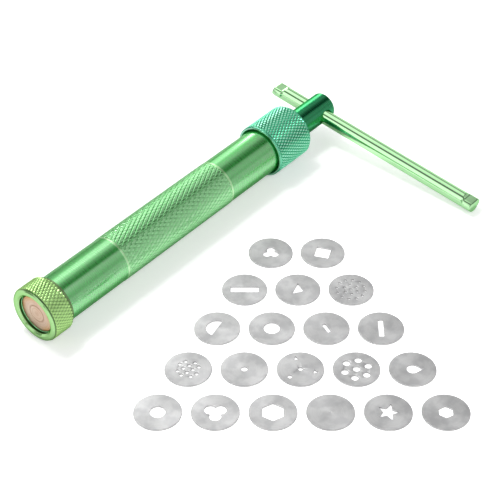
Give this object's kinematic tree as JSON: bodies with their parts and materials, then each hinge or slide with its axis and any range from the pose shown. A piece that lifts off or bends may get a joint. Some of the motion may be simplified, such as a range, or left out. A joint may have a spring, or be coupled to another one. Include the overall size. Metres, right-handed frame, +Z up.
{
  "type": "pottery clay extruder",
  "caption": "Hand cranked clay extruder: knurled green barrel with screw-on nose ring, feed screw turned by a sliding tommy bar, and a set of pierced dies laid out beside it.",
  "frame": {"origin": "centre of the whole set's bounding box on the plane it lies on", "axes": "+X along the barrel from the nose to the hub, +Z up, the dies on the -Y side"},
  "size_m": [0.207, 0.194, 0.026],
  "materials": {
    "barrel_aluminium": "turned aluminium, green anodised, knurled grip",
    "ring_aluminium": "knurled aluminium, yellow-green anodised",
    "cap_aluminium": "knurled aluminium, teal-green anodised",
    "screw_aluminium": "turned and threaded aluminium, dark teal anodised",
    "bar_aluminium": "polished aluminium, pale green anodised",
    "piston_copper": "turned copper alloy",
    "seal_rubber": "black rubber",
    "clip_steel": "spring steel",
    "die_steel": "thin stainless steel, turned and pierced"
  },
  "bodies": {
    "barrel": {"barrel": "barrel_aluminium"},
    "front_ring": {"front_ring": "ring_aluminium"},
    "rear_cap": {"rear_cap": "cap_aluminium"},
    "piston": {"piston": "piston_copper", "piston_seal": "seal_rubber", "piston_clip": "clip_steel"},
    "feed_screw": {"feed_screw": "screw_aluminium"},
    "tommy_bar": {"tommy_bar": "bar_aluminium"},
    "die_small_trefoil": {"die_small_trefoil": "die_steel"},
    "die_square": {"die_square": "die_steel"},
    "die_wide_slot": {"die_wide_slot": "die_steel"},
    "die_triangle": {"die_triangle": "die_steel"},
    "die_nineteen_hole": {"die_nineteen_hole": "die_steel"},
    "die_half_round": {"die_half_round": "die_steel"},
    "die_large_round": {"die_large_round": "die_steel"},
    "die_short_slot": {"die_short_slot": "die_steel"},
    "die_long_slot": {"die_long_slot": "die_steel"},
    "die_twelve_hole": {"die_twelve_hole": "die_steel"},
    "die_small_round": {"die_small_round": "die_steel"},
    "die_strand": {"die_strand": "die_steel"},
    "die_seven_hole": {"die_seven_hole": "die_steel"},
    "die_teardrop": {"die_teardrop": "die_steel"},
    "die_medium_round": {"die_medium_round": "die_steel"},
    "die_large_trefoil": {"die_large_trefoil": "die_steel"},
    "die_large_hexagon": {"die_large_hexagon": "die_steel"},
    "die_blank": {"die_blank": "die_steel"},
    "die_star": {"die_star": "die_steel"},
    "die_small_hexagon": {"die_small_hexagon": "die_steel"}
  },
  "joints": [
    {"name": "front_ring_draw", "type": "slide", "parent": "barrel", "child": "front_ring", "axis": [-1, 0, 0], "range_m": [0, 0.04]},
    {"name": "cap_draw", "type": "slide", "parent": "barrel", "child": "rear_cap", "axis": [1, 0, 0], "range_m": [0, 0.175]},
    {"name": "feed_slide", "type": "slide", "parent": "rear_cap", "child": "piston", "axis": [1, 0, 0], "range_m": [0, 0.1501]},
    {"name": "screw_turn", "type": "hinge", "parent": "piston", "child": "feed_screw", "pos_m": [0.09663, 0.07227, 0.013], "axis": [1, 0, 0], "range_deg": [0, 27000]},
    {"name": "bar_slide", "type": "slide", "parent": "feed_screw", "child": "tommy_bar", "axis": [0, -0.995, -0.0997], "range_m": [-0.082, 0.011]},
    {"name": "lift_die_small_trefoil", "type": "slide", "parent": "barrel", "child": "die_small_trefoil", "axis": [0, 0, 1], "range_m": [0, 0.03]},
    {"name": "lift_die_square", "type": "slide", "parent": "barrel", "child": "die_square", "axis": [0, 0, 1], "range_m": [0, 0.03]},
    {"name": "lift_die_wide_slot", "type": "slide", "parent": "barrel", "child": "die_wide_slot", "axis": [0, 0, 1], "range_m": [0, 0.03]},
    {"name": "lift_die_triangle", "type": "slide", "parent": "barrel", "child": "die_triangle", "axis": [0, 0, 1], "range_m": [0, 0.03]},
    {"name": "lift_die_nineteen_hole", "type": "slide", "parent": "barrel", "child": "die_nineteen_hole", "axis": [0, 0, 1], "range_m": [0, 0.03]},
    {"name": "lift_die_half_round", "type": "slide", "parent": "barrel", "child": "die_half_round", "axis": [0, 0, 1], "range_m": [0, 0.03]},
    {"name": "lift_die_large_round", "type": "slide", "parent": "barrel", "child": "die_large_round", "axis": [0, 0, 1], "range_m": [0, 0.03]},
    {"name": "lift_die_short_slot", "type": "slide", "parent": "barrel", "child": "die_short_slot", "axis": [0, 0, 1], "range_m": [0, 0.03]},
    {"name": "lift_die_long_slot", "type": "slide", "parent": "barrel", "child": "die_long_slot", "axis": [0, 0, 1], "range_m": [0, 0.03]},
    {"name": "lift_die_twelve_hole", "type": "slide", "parent": "barrel", "child": "die_twelve_hole", "axis": [0, 0, 1], "range_m": [0, 0.03]},
    {"name": "lift_die_small_round", "type": "slide", "parent": "barrel", "child": "die_small_round", "axis": [0, 0, 1], "range_m": [0, 0.03]},
    {"name": "lift_die_strand", "type": "slide", "parent": "barrel", "child": "die_strand", "axis": [0, 0, 1], "range_m": [0, 0.03]},
    {"name": "lift_die_seven_hole", "type": "slide", "parent": "barrel", "child": "die_seven_hole", "axis": [0, 0, 1], "range_m": [0, 0.03]},
    {"name": "lift_die_teardrop", "type": "slide", "parent": "barrel", "child": "die_teardrop", "axis": [0, 0, 1], "range_m": [0, 0.03]},
    {"name": "lift_die_medium_round", "type": "slide", "parent": "barrel", "child": "die_medium_round", "axis": [0, 0, 1], "range_m": [0, 0.03]},
    {"name": "lift_die_large_trefoil", "type": "slide", "parent": "barrel", "child": "die_large_trefoil", "axis": [0, 0, 1], "range_m": [0, 0.03]},
    {"name": "lift_die_large_hexagon", "type": "slide", "parent": "barrel", "child": "die_large_hexagon", "axis": [0, 0, 1], "range_m": [0, 0.03]},
    {"name": "lift_die_blank", "type": "slide", "parent": "barrel", "child": "die_blank", "axis": [0, 0, 1], "range_m": [0, 0.03]},
    {"name": "lift_die_star", "type": "slide", "parent": "barrel", "child": "die_star", "axis": [0, 0, 1], "range_m": [0, 0.03]},
    {"name": "lift_die_small_hexagon", "type": "slide", "parent": "barrel", "child": "die_small_hexagon", "axis": [0, 0, 1], "range_m": [0, 0.03]}
  ],
  "couplings": [
    {"joint": "feed_slide", "follows": "screw_turn", "m_per_rad": 0.00031831}
  ]
}
